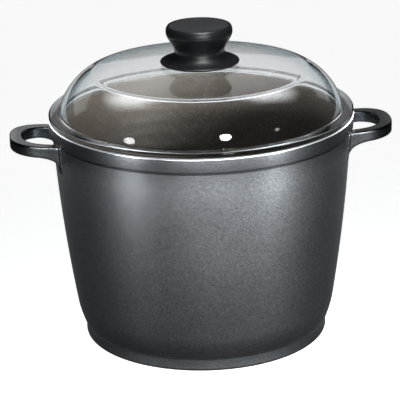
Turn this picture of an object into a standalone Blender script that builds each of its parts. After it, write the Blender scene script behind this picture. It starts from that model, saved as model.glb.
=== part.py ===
"""Tall cast aluminium stockpot with cast-on loop handles, a domed glass lid and a turned knob.

Metres, +Z up.  The origin is the centre of the base underside, X runs along the two handles.
Every piece that is separate on the real pot is its own object.
"""
import math

import bmesh
import bpy
from mathutils import Matrix

MM = 0.001
RUNNING_GAP = 0.3 * MM

# ---- pot casting -------------------------------------------------------------
RIM_Z = 224.0 * MM
RIM_RADIUS = 149.6 * MM
RIM_CHAMFER = 1.1 * MM
COLLAR_HEIGHT = 14.0 * MM
COLLAR_STEP = 3.0 * MM
COLLAR_DRAFT = 0.4 * MM
WALL_THICKNESS = 4.7 * MM
WALL_SLOPE = 0.05
WALL_BELLY = 0.307
HEEL_START_Z = 36.0 * MM
HEEL_BEND = 5.8
FOOT_HEIGHT = 12.0 * MM
FOOT_EDGE = 3.0 * MM
FOOT_STEP_HEIGHT = 0.8 * MM
FOOT_STEP_IN = 0.56 * MM
FLOOR_Z = 9.0 * MM
FLOOR_CORNER = 15.0 * MM
MOUTH_EDGE = 0.8 * MM
WALL_STEPS = 8
POT_SEGMENTS = 72

# ---- steel disc pressed into the base ------------------------------------------
FOOT_RING_WIDTH = 16.8 * MM
DISC_THICKNESS = 1.8 * MM

# ---- handles --------------------------------------------------------------------
HANDLE_INSET = 2.2 * MM
HANDLE_REACH = 40.9 * MM
HANDLE_HALF_WIDTH = 39.8 * MM
HANDLE_BAND = 12.2 * MM
HANDLE_ROUNDNESS = 2.5
HANDLE_BELOW_RIM = 16.6 * MM
HANDLE_RISE = 0.077
HANDLE_THICKNESS = 11.2 * MM
GUSSET_REACH = 17.6 * MM
GUSSET_SINK = 0.4 * MM
GUSSET_DROP = 15.5 * MM
HANDLE_EDGE = 1.5 * MM
HANDLE_ROOT_DEPTH = 1.3 * MM
LOOP_STEPS = 20
GUSSET_STEPS = 7

# ---- glass lid ---------------------------------------------------------------------
GLASS_THICKNESS = 4.0 * MM
FLANGE_WIDTH = 8.4 * MM
DOME_HEIGHT = 49.2 * MM
CROWN_SHARE = 0.759
CROWN_POWER = 2.4
SHOULDER_HEIGHT = 51.0 * MM
SHOULDER_SIDE_POWER = 0.314
SHOULDER_TOP_POWER = 1.55
FLANGE_SETBACK = 0.2 * MM
FLANGE_HEIGHT = 5.0 * MM
FLANGE_EDGE = 2.0 * MM
FLANGE_ROOT = 0.3
LIP_DEPTH = 3.5 * MM
LIP_CLEARANCE = 0.9 * MM
GLASS_HOLE_CLEARANCE = 1.5 * MM
CROWN_STEPS = 5
SHOULDER_STEPS = 8
SHOULDER_SPACING = 1.25
LID_SEGMENTS = 72

# ---- knob and its fixings ----------------------------------------------------------
SKIRT_RADIUS = 38.6 * MM
SKIRT_EDGE = 2.4 * MM
NECK_RADIUS = 24.5 * MM
NECK_HEIGHT = 11.8 * MM
GRIP_RADIUS = 32.5 * MM
GRIP_HEIGHT = 31.0 * MM
KNOB_HEIGHT = 37.0 * MM
CAP_BORDER = 3.5 * MM
CAP_THICKNESS = 1.6 * MM
CAP_INSET = 0.4 * MM
CAP_FRAME = 0.6 * MM
KNOB_SEGMENTS = 40
SMALL_SEGMENTS = 24
SCREW_RADIUS = 2.5 * MM
INSERT_WALL = 2.7 * MM
INSERT_LENGTH = 14.0 * MM
INSERT_END = 1.4 * MM
SCREW_ENGAGEMENT = 11.0 * MM
SCREW_HEAD_OVERHANG = 2.3 * MM
SCREW_HEAD_HEIGHT = 3.0 * MM
SCREW_HEAD_DOME = 0.7
SCREW_POINT = 0.5 * MM
SCREW_SLOT_WIDTH = 1.2 * MM
SCREW_SLOT_DEPTH = 1.4 * MM
SEAL_RADIUS = 13.0 * MM
SEAL_THICKNESS = 1.0 * MM
CUP_RADIUS = 11.0 * MM
CUP_THICKNESS = 1.0 * MM
CUP_LIP = 1.4 * MM
SPRING_WIDTH = 1.8 * MM
SPRING_THICKNESS = 1.2 * MM
SPRING_SPLIT = 0.9 * MM

SMOOTH_ANGLE = math.radians(35)

# ---- sizes that follow from the ones above -------------------------------------------
COLLAR_Z = RIM_Z - COLLAR_HEIGHT
FOOT_TOP_Z = FOOT_HEIGHT + FOOT_STEP_HEIGHT
FLANGE_RADIUS = RIM_RADIUS - FLANGE_SETBACK
DOME_RADIUS = FLANGE_RADIUS - FLANGE_WIDTH
HANDLE_CENTRE_X = RIM_RADIUS - HANDLE_INSET
HANDLE_TOP_Z = RIM_Z - HANDLE_BELOW_RIM
HANDLE_UNDER_Z = HANDLE_TOP_Z + HANDLE_RISE * GUSSET_REACH - HANDLE_THICKNESS
GUSSET_LOW_Z = HANDLE_UNDER_Z - GUSSET_DROP
GUSSET_START_X = HANDLE_CENTRE_X + GUSSET_REACH
SCREW_BORE = SCREW_RADIUS + RUNNING_GAP
GLASS_HOLE_RADIUS = SCREW_RADIUS + GLASS_HOLE_CLEARANCE
INSERT_RADIUS = SCREW_BORE + INSERT_WALL
SPRING_RADIUS = SCREW_BORE + SPRING_WIDTH
SCREW_HEAD_RADIUS = SCREW_RADIUS + SCREW_HEAD_OVERHANG
CAP_RADIUS = GRIP_RADIUS - CAP_BORDER


def wall_radius(z):
    """Outer radius of the pot wall at height z: a long arc with a rounder heel."""
    below = COLLAR_Z - z
    radius = RIM_RADIUS - COLLAR_STEP - WALL_SLOPE * below - WALL_BELLY * below * below
    heel = max(0.0, HEEL_START_Z - z)
    return radius - HEEL_BEND * heel * heel


def foot_radius():
    return wall_radius(FOOT_TOP_Z) - FOOT_STEP_IN


def disc_radius():
    return foot_radius() - FOOT_RING_WIDTH


def mouth_radius():
    return wall_radius(COLLAR_Z) - WALL_THICKNESS


def gusset_end_x():
    """Where the gusset runs out on the wall, at the outer side of a handle's leg."""
    return math.sqrt(wall_radius(GUSSET_LOW_Z) ** 2 - HANDLE_HALF_WIDTH ** 2) - GUSSET_SINK


def shoulder_point(turn):
    """Point on the glass outside the crease; turn runs from 0 at the crown to a quarter turn."""
    radius = DOME_RADIUS * math.sin(turn) ** SHOULDER_SIDE_POWER
    return radius, SHOULDER_HEIGHT * math.cos(turn) ** SHOULDER_TOP_POWER


def dome_points():
    """Outer face of the glass: a shallow crown out to the crease, then the round shoulder."""
    base_z = RIM_Z + RUNNING_GAP
    crease_turn = math.asin(CROWN_SHARE ** (1 / SHOULDER_SIDE_POWER))
    last_height = (FLANGE_HEIGHT + FLANGE_EDGE) / SHOULDER_HEIGHT
    last_turn = math.acos(last_height ** (1 / SHOULDER_TOP_POWER))
    crease_r, crease_z = shoulder_point(crease_turn)
    points = []
    for step in range(1, CROWN_STEPS + 1):
        share = step / CROWN_STEPS
        radius = GLASS_HOLE_RADIUS + (crease_r - GLASS_HOLE_RADIUS) * share
        drop = (DOME_HEIGHT - crease_z) * (radius / crease_r) ** CROWN_POWER
        points.append((radius, base_z + DOME_HEIGHT - drop))
    for step in range(1, SHOULDER_STEPS + 1):
        reach = 1 - (1 - step / SHOULDER_STEPS) ** SHOULDER_SPACING
        radius, height = shoulder_point(crease_turn + (last_turn - crease_turn) * reach)
        points.append((radius, base_z + height))
    return points


def clear_scene():
    for item in list(bpy.data.objects):
        bpy.data.objects.remove(item, do_unlink=True)


def make_collection(name):
    group = bpy.data.collections.new(name)
    bpy.context.scene.collection.children.link(group)
    return group


def make_material(name, colour, roughness, metallic=0.0, alpha=1.0):
    surface = bpy.data.materials.new(name)
    surface.use_nodes = True
    shader = surface.node_tree.nodes["Principled BSDF"]
    shader.inputs["Base Color"].default_value = (*colour, 1.0)
    shader.inputs["Roughness"].default_value = roughness
    shader.inputs["Metallic"].default_value = metallic
    shader.inputs["Alpha"].default_value = alpha
    return surface


def add_object(name, mesh, group, surface=None):
    piece = bpy.data.objects.new(name, mesh)
    group.objects.link(piece)
    if surface:
        mesh.materials.append(surface)
    return piece


def arc(centre_r, centre_z, radius, start, end, steps):
    """Points of a circular arc in the profile plane, both ends included; angles in degrees."""
    points = []
    for step in range(steps + 1):
        angle = math.radians(start + (end - start) * step / steps)
        points.append((centre_r + radius * math.cos(angle), centre_z + radius * math.sin(angle)))
    return points


def turned(name, profile, segments, group, surface, closed):
    """Revolve a profile (radius, height) about Z; its outer side runs from top to bottom."""
    mesh = bpy.data.meshes.new(name)
    count = len(profile)
    edges = [(i, i + 1) for i in range(count - 1)]
    if closed:
        edges.append((count - 1, 0))
    mesh.from_pydata([(r, 0.0, z) for r, z in profile], edges, [])
    piece = add_object(name, mesh, group, surface)
    screw = piece.modifiers.new("Turn", "SCREW")
    screw.axis = "Z"
    screw.angle = math.tau
    screw.steps = segments
    screw.render_steps = segments
    screw.use_merge_vertices = True
    screw.merge_threshold = 0.00001
    screw.use_smooth_shade = True
    return piece


def baked_mesh(piece):
    """Mesh of a piece after all its modifiers."""
    bpy.context.view_layer.update()
    scene_state = bpy.context.evaluated_depsgraph_get()
    return bpy.data.meshes.new_from_object(piece.evaluated_get(scene_state))


def mesh_from_curve(name, curve, group):
    """Swap a curve object for a closed mesh of the same shape, so that Booleans can use it."""
    bpy.context.view_layer.update()
    mesh = baked_mesh(curve)
    form = bmesh.new()
    form.from_mesh(mesh)
    bmesh.ops.remove_doubles(form, verts=form.verts, dist=0.00001)
    bmesh.ops.recalc_face_normals(form, faces=form.faces)
    form.to_mesh(mesh)
    form.free()
    solid = add_object(name, mesh, group)
    solid.matrix_world = curve.matrix_world
    bpy.data.objects.remove(curve, do_unlink=True)
    return solid


def plate(name, outline, thickness, group, place):
    """Flat outline given a thickness, half to each side of its plane, and set at place."""
    data = bpy.data.curves.new(name + "_outline", "CURVE")
    data.dimensions = "2D"
    data.fill_mode = "BOTH"
    data.extrude = thickness / 2
    spline = data.splines.new("POLY")
    spline.points.add(len(outline) - 1)
    for point, (x, y) in zip(spline.points, outline):
        point.co = (x, y, 0.0, 1.0)
    spline.use_cyclic_u = True
    curve = bpy.data.objects.new(name + "_outline", data)
    group.objects.link(curve)
    curve.matrix_world = place
    return mesh_from_curve(name, curve, group)


def block(name, size, centre, group):
    """Plain box used as a cutter."""
    mesh = bpy.data.meshes.new(name)
    form = bmesh.new()
    bmesh.ops.create_cube(form, size=1.0)
    bmesh.ops.scale(form, vec=size, verts=form.verts)
    bmesh.ops.translate(form, vec=centre, verts=form.verts)
    form.to_mesh(mesh)
    form.free()
    return add_object(name, mesh, group)


def hide_tool(tool):
    tool.hide_render = True
    tool.display_type = "WIRE"


def make_pivot(name, height, group):
    """Empty on the pot's axis that carries the pieces moving together."""
    pivot = bpy.data.objects.new(name, None)
    pivot.location.z = height
    group.objects.link(pivot)
    return pivot


def hang(piece, pivot):
    bpy.context.view_layer.update()
    piece.parent = pivot
    piece.matrix_parent_inverse = pivot.matrix_world.inverted()


def cut(piece, tool, operation="DIFFERENCE"):
    hide_tool(tool)
    step = piece.modifiers.new(tool.name, "BOOLEAN")
    step.operation = operation
    step.solver = "EXACT"
    step.object = tool


def finish(piece):
    """Keep the piece as a plain mesh, smooth on its curves and crisp on its corners."""
    mesh = baked_mesh(piece)
    piece.modifiers.clear()
    mesh.name = piece.name
    piece.data = mesh
    mesh.shade_smooth()
    mesh.set_sharp_from_angle(angle=SMOOTH_ANGLE)


def loop_side(reach, half_width):
    """Half of a rounded loop seen from above, from its low y side to its high y side."""
    power = 2.0 / HANDLE_ROUNDNESS
    points = []
    for step in range(LOOP_STEPS + 1):
        angle = -math.pi / 2 + math.pi * step / LOOP_STEPS
        along = max(0.0, math.cos(angle)) ** power
        across = math.copysign(abs(math.sin(angle)) ** power, math.sin(angle))
        points.append((HANDLE_CENTRE_X + reach * along, half_width * across))
    return points


def handle_plan():
    """Horse-shoe outline of a handle seen from above, with its open ends inside the wall."""
    root_x = gusset_end_x() - 2 * HANDLE_BAND
    hole_half = HANDLE_HALF_WIDTH - HANDLE_BAND
    outer = loop_side(HANDLE_REACH, HANDLE_HALF_WIDTH)
    inner = loop_side(HANDLE_REACH - HANDLE_BAND, hole_half)
    outer = [(root_x, -HANDLE_HALF_WIDTH)] + outer + [(root_x, HANDLE_HALF_WIDTH)]
    inner = [(root_x, -hole_half)] + inner + [(root_x, hole_half)]
    return outer + inner[::-1]


def handle_side():
    """Side view of a handle: sloping flat top, parallel underside, gusset down to the wall."""
    def top(x):
        return HANDLE_TOP_Z + HANDLE_RISE * (x - HANDLE_CENTRE_X)
    tip_x = HANDLE_CENTRE_X + HANDLE_REACH + HANDLE_BAND
    root_x = gusset_end_x() - HANDLE_BAND
    points = [(root_x, top(root_x)), (tip_x, top(tip_x)), (tip_x, top(tip_x) - HANDLE_THICKNESS)]
    width = GUSSET_START_X - gusset_end_x()
    for step in range(GUSSET_STEPS + 1):
        angle = math.pi / 2 * step / GUSSET_STEPS
        drop = GUSSET_DROP * (1 - math.cos(angle))
        points.append((GUSSET_START_X - width * math.sin(angle), HANDLE_UNDER_Z - drop))
    points.append((root_x, GUSSET_LOW_Z))
    return points


def make_handle(tools):
    """One loop handle as a mesh, on the +X side, ending inside the pot wall."""
    upright = Matrix.Rotation(math.pi / 2, 4, "X")
    body = plate("handle_side", handle_side(), 4 * HANDLE_HALF_WIDTH, tools, upright)
    level = Matrix.Translation((0.0, 0.0, HANDLE_TOP_Z))
    plan = plate("handle_plan", handle_plan(), HANDLE_TOP_Z, tools, level)
    cut(body, plan, "INTERSECT")
    root_r = wall_radius(GUSSET_LOW_Z) - HANDLE_ROOT_DEPTH
    core_profile = [(0.0, RIM_Z), (root_r, RIM_Z), (root_r, RIM_Z / 2), (0.0, RIM_Z / 2)]
    core = turned("handle_root", core_profile, POT_SEGMENTS, tools, None, False)
    cut(body, core)
    bevel = body.modifiers.new("Edge", "BEVEL")
    bevel.width = HANDLE_EDGE
    bevel.segments = 2
    bevel.limit_method = "ANGLE"
    bevel.angle_limit = math.radians(40)
    hide_tool(body)
    mesh = baked_mesh(body)
    mesh.transform(body.matrix_world)
    return mesh


def pot_profile():
    """Section of the casting from the middle of its floor, over the rim, to the recess below."""
    corner_r = wall_radius(FLOOR_Z + FLOOR_CORNER) - WALL_THICKNESS
    points = [(0.0, FLOOR_Z)]
    points += arc(corner_r - FLOOR_CORNER, FLOOR_Z + FLOOR_CORNER, FLOOR_CORNER, -90, 0, 5)
    for step in range(1, WALL_STEPS):
        z = FLOOR_Z + FLOOR_CORNER + (COLLAR_Z - FLOOR_Z - FLOOR_CORNER) * step / WALL_STEPS
        points.append((wall_radius(z) - WALL_THICKNESS, z))
    mouth = mouth_radius()
    points += [(mouth, COLLAR_Z), (mouth, RIM_Z - MOUTH_EDGE), (mouth + MOUTH_EDGE, RIM_Z)]
    points += [(RIM_RADIUS - RIM_CHAMFER, RIM_Z), (RIM_RADIUS, RIM_Z - RIM_CHAMFER)]
    points += [(RIM_RADIUS - COLLAR_DRAFT, COLLAR_Z + COLLAR_DRAFT)]
    points += [(RIM_RADIUS - 2 * COLLAR_DRAFT, COLLAR_Z)]
    points.append((wall_radius(COLLAR_Z), COLLAR_Z - COLLAR_DRAFT))
    for step in range(1, WALL_STEPS):
        z = COLLAR_Z - (COLLAR_Z - HEEL_START_Z) * step / WALL_STEPS
        points.append((wall_radius(z), z))
    for step in range(5):
        z = HEEL_START_Z - (HEEL_START_Z - FOOT_TOP_Z) * step / 4
        points.append((wall_radius(z), z))
    foot_r = foot_radius()
    points.append((foot_r, FOOT_HEIGHT))
    points += arc(foot_r - FOOT_EDGE, FOOT_EDGE, FOOT_EDGE, 0, -90, 5)
    recess_r = disc_radius() + RUNNING_GAP
    recess_z = DISC_THICKNESS + RUNNING_GAP
    points += [(recess_r, 0.0), (recess_r, recess_z), (0.0, recess_z)]
    return points


def glass_profile():
    """Closed section of the lid: hole, outer face, flange, locating lip, inner face."""
    outer = dome_points()
    inner = []
    for i, (r, z) in enumerate(outer):
        before = outer[max(0, i - 1)]
        after = outer[min(len(outer) - 1, i + 1)]
        dr, dz = after[0] - before[0], after[1] - before[1]
        length = math.hypot(dr, dz)
        inner.append((r + dz / length * GLASS_THICKNESS, z - dr / length * GLASS_THICKNESS))
    crown_z = RIM_Z + RUNNING_GAP + DOME_HEIGHT
    seat_z = RIM_Z + RUNNING_GAP
    lip_r = mouth_radius() - LIP_CLEARANCE
    inner_r = DOME_RADIUS - GLASS_THICKNESS
    points = [(GLASS_HOLE_RADIUS, crown_z)] + outer
    root = FLANGE_ROOT * FLANGE_EDGE
    points.append((DOME_RADIUS + root, seat_z + FLANGE_HEIGHT + root))
    points.append((DOME_RADIUS + FLANGE_EDGE, seat_z + FLANGE_HEIGHT))
    top_arc = seat_z + FLANGE_HEIGHT - FLANGE_EDGE
    points += arc(FLANGE_RADIUS - FLANGE_EDGE, top_arc, FLANGE_EDGE, 90, 0, 3)
    points += [(FLANGE_RADIUS, seat_z + RUNNING_GAP), (FLANGE_RADIUS - RUNNING_GAP, seat_z)]
    points += [(lip_r, seat_z), (lip_r, seat_z - LIP_DEPTH + MOUTH_EDGE)]
    points += [(lip_r - MOUTH_EDGE, seat_z - LIP_DEPTH), (inner_r + MOUTH_EDGE, seat_z - LIP_DEPTH)]
    points += [(inner_r, seat_z - LIP_DEPTH + MOUTH_EDGE)]
    points += inner[::-1] + [(GLASS_HOLE_RADIUS, crown_z - GLASS_THICKNESS)]
    return points


def knob_profile(base_z):
    """Section of the knob moulding from the cap recess, down its side, to the insert pocket."""
    neck_z = base_z + NECK_HEIGHT
    grip_z = base_z + GRIP_HEIGHT
    top_z = base_z + KNOB_HEIGHT
    recess_r = CAP_RADIUS + RUNNING_GAP
    recess_z = top_z - CAP_INSET - CAP_THICKNESS - RUNNING_GAP
    rim_r = recess_r + CAP_FRAME
    points = [(0.0, recess_z), (recess_r, recess_z), (recess_r, top_z), (rim_r, top_z)]
    round_r = GRIP_RADIUS - rim_r
    for step in range(1, 5):
        angle = math.radians(90 - 90 * step / 4)
        points.append((rim_r + round_r * math.cos(angle), grip_z + (top_z - grip_z) * math.sin(angle)))
    for step in range(1, 8):
        share = step / 7
        ease = 0.5 - 0.5 * math.cos(math.pi * share)
        points.append((GRIP_RADIUS + (NECK_RADIUS - GRIP_RADIUS) * ease,
                       grip_z + (neck_z - grip_z) * share))
    skirt_top = base_z + SKIRT_EDGE
    for step in range(1, 6):
        angle = math.pi / 2 * step / 5
        width = SKIRT_RADIUS - SKIRT_EDGE / 2 - NECK_RADIUS
        points.append((NECK_RADIUS + width * (1 - math.cos(angle)),
                       neck_z + (skirt_top - neck_z) * math.sin(angle)))
    points += arc(SKIRT_RADIUS - SKIRT_EDGE / 2, base_z + SKIRT_EDGE / 2, SKIRT_EDGE / 2, 60, -90, 5)
    pocket_r = INSERT_RADIUS + RUNNING_GAP
    pocket_z = base_z + INSERT_LENGTH + 2 * RUNNING_GAP
    points += [(pocket_r, base_z), (pocket_r, pocket_z), (0.0, pocket_z)]
    return points


def ring_profile(inner, outer, low, high, edge=0.0):
    """Closed section of a plain washer, with its outer corners broken by edge."""
    if not edge:
        return [(inner, high), (outer, high), (outer, low), (inner, low)]
    return [(inner, high), (outer - edge, high), (outer, high - edge), (outer, low + edge),
            (outer - edge, low), (inner, low)]


def build():
    clear_scene()
    parts = make_collection("stockpot")
    tools = make_collection("shaping_tools")

    lacquer = make_material("lacquered_aluminium", (0.085, 0.092, 0.1), 0.42, 0.55)
    steel = make_material("base_steel", (0.5, 0.5, 0.5), 0.35, 1.0)
    glass = make_material("lid_glass", (0.86, 0.93, 0.94), 0.03, 0.0, 0.3)
    phenolic = make_material("knob_phenolic", (0.018, 0.018, 0.02), 0.35)
    cap_black = make_material("knob_cap_plastic", (0.03, 0.03, 0.034), 0.28)
    brass = make_material("insert_brass", (0.78, 0.58, 0.27), 0.3, 1.0)
    silicone = make_material("seal_silicone", (0.75, 0.76, 0.76), 0.55)
    silicone_under = make_material("under_seal_silicone", (0.74, 0.75, 0.75), 0.55)
    cup_steel = make_material("cup_washer_steel", (0.62, 0.62, 0.62), 0.25, 1.0)
    spring_steel = make_material("spring_washer_steel", (0.5, 0.5, 0.52), 0.3, 1.0)
    screw_steel = make_material("screw_steel", (0.6, 0.6, 0.61), 0.27, 1.0)

    pot = turned("pot_casting", pot_profile(), POT_SEGMENTS, parts, lacquer, False)
    handle_mesh = make_handle(tools)
    for side, angle in (("right", 0.0), ("left", math.pi)):
        handle = add_object("handle_" + side, handle_mesh, tools)
        handle.rotation_euler.z = angle
        cut(pot, handle, "UNION")

    disc_r = disc_radius()
    disc_profile = [(0.0, DISC_THICKNESS), (disc_r, DISC_THICKNESS), (disc_r, 0.0), (0.0, 0.0)]
    turned("base_disc", disc_profile, POT_SEGMENTS, parts, steel, False)

    turned("lid_glass", glass_profile(), LID_SEGMENTS, parts, glass, True)

    crown_z = RIM_Z + RUNNING_GAP + DOME_HEIGHT
    seal_low = crown_z + RUNNING_GAP
    base_z = seal_low + SEAL_THICKNESS + RUNNING_GAP
    turned("seal_above", ring_profile(GLASS_HOLE_RADIUS, SEAL_RADIUS, seal_low,
                                      seal_low + SEAL_THICKNESS), SMALL_SEGMENTS, parts, silicone, True)
    turned("knob_body", knob_profile(base_z), KNOB_SEGMENTS, parts, phenolic, False)

    cap_top = base_z + KNOB_HEIGHT - CAP_INSET
    cap_edge = CAP_INSET
    cap_profile = [(0.0, cap_top), (CAP_RADIUS - cap_edge, cap_top), (CAP_RADIUS, cap_top - cap_edge),
                   (CAP_RADIUS, cap_top - CAP_THICKNESS), (0.0, cap_top - CAP_THICKNESS)]
    turned("knob_cap", cap_profile, KNOB_SEGMENTS, parts, cap_black, False)

    insert_low = base_z + RUNNING_GAP
    insert_high = insert_low + INSERT_LENGTH
    insert_profile = [(0.0, insert_high), (INSERT_RADIUS, insert_high), (INSERT_RADIUS, insert_low),
                      (SCREW_BORE, insert_low), (SCREW_BORE, insert_high - INSERT_END),
                      (0.0, insert_high - INSERT_END)]
    turned("knob_insert", insert_profile, SMALL_SEGMENTS, parts, brass, False)

    inner_crown = crown_z - GLASS_THICKNESS
    under_high = inner_crown - RUNNING_GAP
    under_low = under_high - SEAL_THICKNESS
    turned("seal_below", ring_profile(GLASS_HOLE_RADIUS, CUP_RADIUS - CUP_THICKNESS - RUNNING_GAP,
                                      under_low, under_high), SMALL_SEGMENTS, parts, silicone_under, True)

    cup_high = under_low - RUNNING_GAP
    cup_low = cup_high - CUP_THICKNESS
    cup_inner = CUP_RADIUS - CUP_THICKNESS
    cup_profile = [(SCREW_BORE, cup_high), (cup_inner, cup_high), (cup_inner, cup_high + CUP_LIP / 2),
                   (CUP_RADIUS, cup_high + CUP_LIP / 2), (CUP_RADIUS, cup_low + RUNNING_GAP),
                   (CUP_RADIUS - RUNNING_GAP, cup_low), (SCREW_BORE, cup_low)]
    turned("cup_washer", cup_profile, SMALL_SEGMENTS, parts, cup_steel, True)

    spring_high = cup_low - RUNNING_GAP
    spring_low = spring_high - SPRING_THICKNESS
    spring = turned("spring_washer", ring_profile(SCREW_BORE, SPRING_RADIUS, spring_low, spring_high),
                    SMALL_SEGMENTS, parts, spring_steel, True)
    split_size = (2 * SPRING_RADIUS, SPRING_SPLIT, 4 * SPRING_THICKNESS)
    cut(spring, block("spring_split", split_size, (SPRING_RADIUS, 0.0, spring_low), tools))

    head_high = spring_low - RUNNING_GAP
    head_low = head_high - SCREW_HEAD_HEIGHT
    tip_z = insert_low + SCREW_ENGAGEMENT
    dome_height = SCREW_HEAD_HEIGHT * SCREW_HEAD_DOME
    head_curve = []
    for step in range(1, 5):
        angle = math.radians(90 * step / 4)
        head_curve.append((SCREW_HEAD_RADIUS * math.cos(angle),
                           head_low + dome_height * (1 - math.sin(angle))))
    head_curve[-1] = (0.0, head_low)
    screw_profile = [(0.0, tip_z), (SCREW_RADIUS - SCREW_POINT, tip_z), (SCREW_RADIUS, tip_z - SCREW_POINT),
                     (SCREW_RADIUS, head_high), (SCREW_HEAD_RADIUS, head_high),
                     (SCREW_HEAD_RADIUS, head_low + dome_height)] + head_curve
    screw = turned("lid_screw", screw_profile, SMALL_SEGMENTS, parts, screw_steel, False)
    slot_size = (4 * SCREW_HEAD_RADIUS, SCREW_SLOT_WIDTH, 2 * SCREW_SLOT_DEPTH)
    cut(screw, block("screw_slot", slot_size, (0.0, 0.0, head_low), tools))

    for piece in parts.objects:
        finish(piece)
    lid_pivot = make_pivot("lid_lift", RIM_Z, parts)
    knob_pivot = make_pivot("knob_turn", crown_z, parts)
    hang(knob_pivot, lid_pivot)
    for name in ("lid_glass", "seal_above", "seal_below"):
        hang(parts.objects[name], lid_pivot)
    for name in ("knob_body", "knob_cap", "knob_insert", "cup_washer", "spring_washer", "lid_screw"):
        hang(parts.objects[name], knob_pivot)


build()
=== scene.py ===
"""Finished look of a tall cast aluminium stockpot with a domed glass lid and a waisted knob."""
import math

import bmesh
import bpy
from bpy.props import FloatProperty, FloatVectorProperty, IntProperty, PointerProperty
from mathutils import Matrix, Vector


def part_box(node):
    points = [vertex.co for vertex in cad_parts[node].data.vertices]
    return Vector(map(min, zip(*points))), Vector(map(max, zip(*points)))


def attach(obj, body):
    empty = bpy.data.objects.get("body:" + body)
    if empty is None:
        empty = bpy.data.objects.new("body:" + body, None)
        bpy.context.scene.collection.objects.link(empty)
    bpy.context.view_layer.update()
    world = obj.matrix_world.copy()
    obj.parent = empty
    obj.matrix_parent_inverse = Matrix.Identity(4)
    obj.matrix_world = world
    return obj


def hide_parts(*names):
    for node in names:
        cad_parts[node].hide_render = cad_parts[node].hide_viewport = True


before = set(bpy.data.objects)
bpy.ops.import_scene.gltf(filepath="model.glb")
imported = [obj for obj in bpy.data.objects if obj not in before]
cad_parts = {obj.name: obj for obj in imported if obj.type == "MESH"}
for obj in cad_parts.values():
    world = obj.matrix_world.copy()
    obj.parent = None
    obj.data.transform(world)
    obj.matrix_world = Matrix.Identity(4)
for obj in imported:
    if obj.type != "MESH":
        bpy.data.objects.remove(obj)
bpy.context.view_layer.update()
POT_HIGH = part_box("pot_casting")[1]
GLASS_LOW, GLASS_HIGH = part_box("lid_glass")
KNOB_LOW, KNOB_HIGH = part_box("knob_body")
CAP_LOW, CAP_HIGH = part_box("knob_cap")
INSERT_LOW, INSERT_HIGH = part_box("knob_insert")
SCREW_LOW, SCREW_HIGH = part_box("lid_screw")
SPRING_LOW, SPRING_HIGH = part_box("spring_washer")
CUP_LOW, CUP_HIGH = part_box("cup_washer")
DISC_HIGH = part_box("base_disc")[1]
MM = 0.001

bl_info = {
    "name": "Cast stockpot with glass lid",
    "version": (1, 0, 0),
    "blender": (4, 5, 0),
    "location": "View3D > Sidebar > Stockpot",
    "description": "Builds a lidded cast aluminium stockpot on its packed frame",
    "category": "Object",
}


# ---- sizes and colours a maker would change ----


def length(name, description, default):
    return FloatProperty(name=name, description=description, default=default, unit="LENGTH",
                         subtype="DISTANCE", precision=5)


def factor(name, description, default):
    return FloatProperty(name=name, description=description, default=default)


def fraction(name, description, default):
    return FloatProperty(name=name, description=description, default=default, min=0.0, max=1.0,
                         subtype="FACTOR")


def turn_by(name, description, default):
    return FloatProperty(name=name, description=description, default=default, subtype="ANGLE")


def colour(name, description, default):
    return FloatVectorProperty(name=name, description=description, default=default,
                               subtype="COLOR", size=3, min=0.0, max=1.0)


class PotSizes(bpy.types.PropertyGroup):
    rim_z: length("Rim height", "Height of the rim above the base", POT_HIGH.z)
    rim_radius: length("Rim radius", "Outer radius of the rim collar", POT_HIGH.y)
    rim_chamfer: length("Rim chamfer", "Width of the bare turned edge", 0.5 * MM)
    collar_height: length("Collar height", "Height of the band under the rim", 14.0 * MM)
    collar_step: length("Collar step", "How far the band stands out of the wall", 3.0 * MM)
    wall: length("Wall thickness", "Thickness of the cast wall", 4.7 * MM)
    floor_z: length("Floor height", "Height of the inner floor", 9.0 * MM)
    floor_corner: length("Floor corner", "Radius between floor and wall inside", 15.0 * MM)
    heel_z: length("Heel height", "Where the wall starts to round in", 36.0 * MM)
    foot_height: length("Foot height", "Height of the foot ring", 12.0 * MM)
    foot_edge: length("Foot edge", "Rounding of the foot's lower edge", 3.0 * MM)
    wall_slope: factor("Wall slope", "How much the wall leans in under the band", 0.05)
    wall_belly: factor("Wall belly", "How fast the lean grows, per metre", 0.307)
    heel_bend: factor("Heel bend", "How fast the heel rounds in, per metre", 5.8)
    mouth_edge: length("Mouth edge", "Rounding of the mouth inside", 1.0 * MM)
    band_edge: length("Band edge", "Rounding of the band's lower edge", 0.8 * MM)
    band_draft: length("Band draft", "How much the band narrows towards its foot", 0.5 * MM)
    gap: length("Gap", "Running gap between pieces", 0.3 * MM)
    segments: IntProperty(name="Segments", description="Sides of a full turn", default=256,
                          min=32)


class HandleSizes(bpy.types.PropertyGroup):
    reach: length("Reach", "From the loop's centre line to its tip",
                  POT_HIGH.x - POT_HIGH.y + 2.2 * MM)
    inset: length("Inset", "Loop centre line inside the rim radius", 2.2 * MM)
    half_width: length("Half width", "Half of the loop's width", 39.8 * MM)
    band: length("Band", "Width of the loop's flat band", 12.2 * MM)
    thickness: length("Thickness", "Height of the loop's edge", 11.2 * MM)
    below_rim: length("Below rim", "Loop's top face under the rim at its centre line", 16.6 * MM)
    rise: factor("Rise", "Upward slope of the loop", 0.077)
    roundness: factor("Roundness", "Squareness of the loop's corners", 2.5)
    gusset_reach: length("Gusset reach", "Where the gusset starts, past the centre line",
                         17.6 * MM)
    gusset_drop: length("Gusset drop", "How far the gusset runs down the wall", 15.5 * MM)
    edge: length("Edge radius", "Rounding of the loop's edges", 1.4 * MM)
    root: length("Root fillet", "Fillet where the loop meets the wall", 2.4 * MM)


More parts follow.
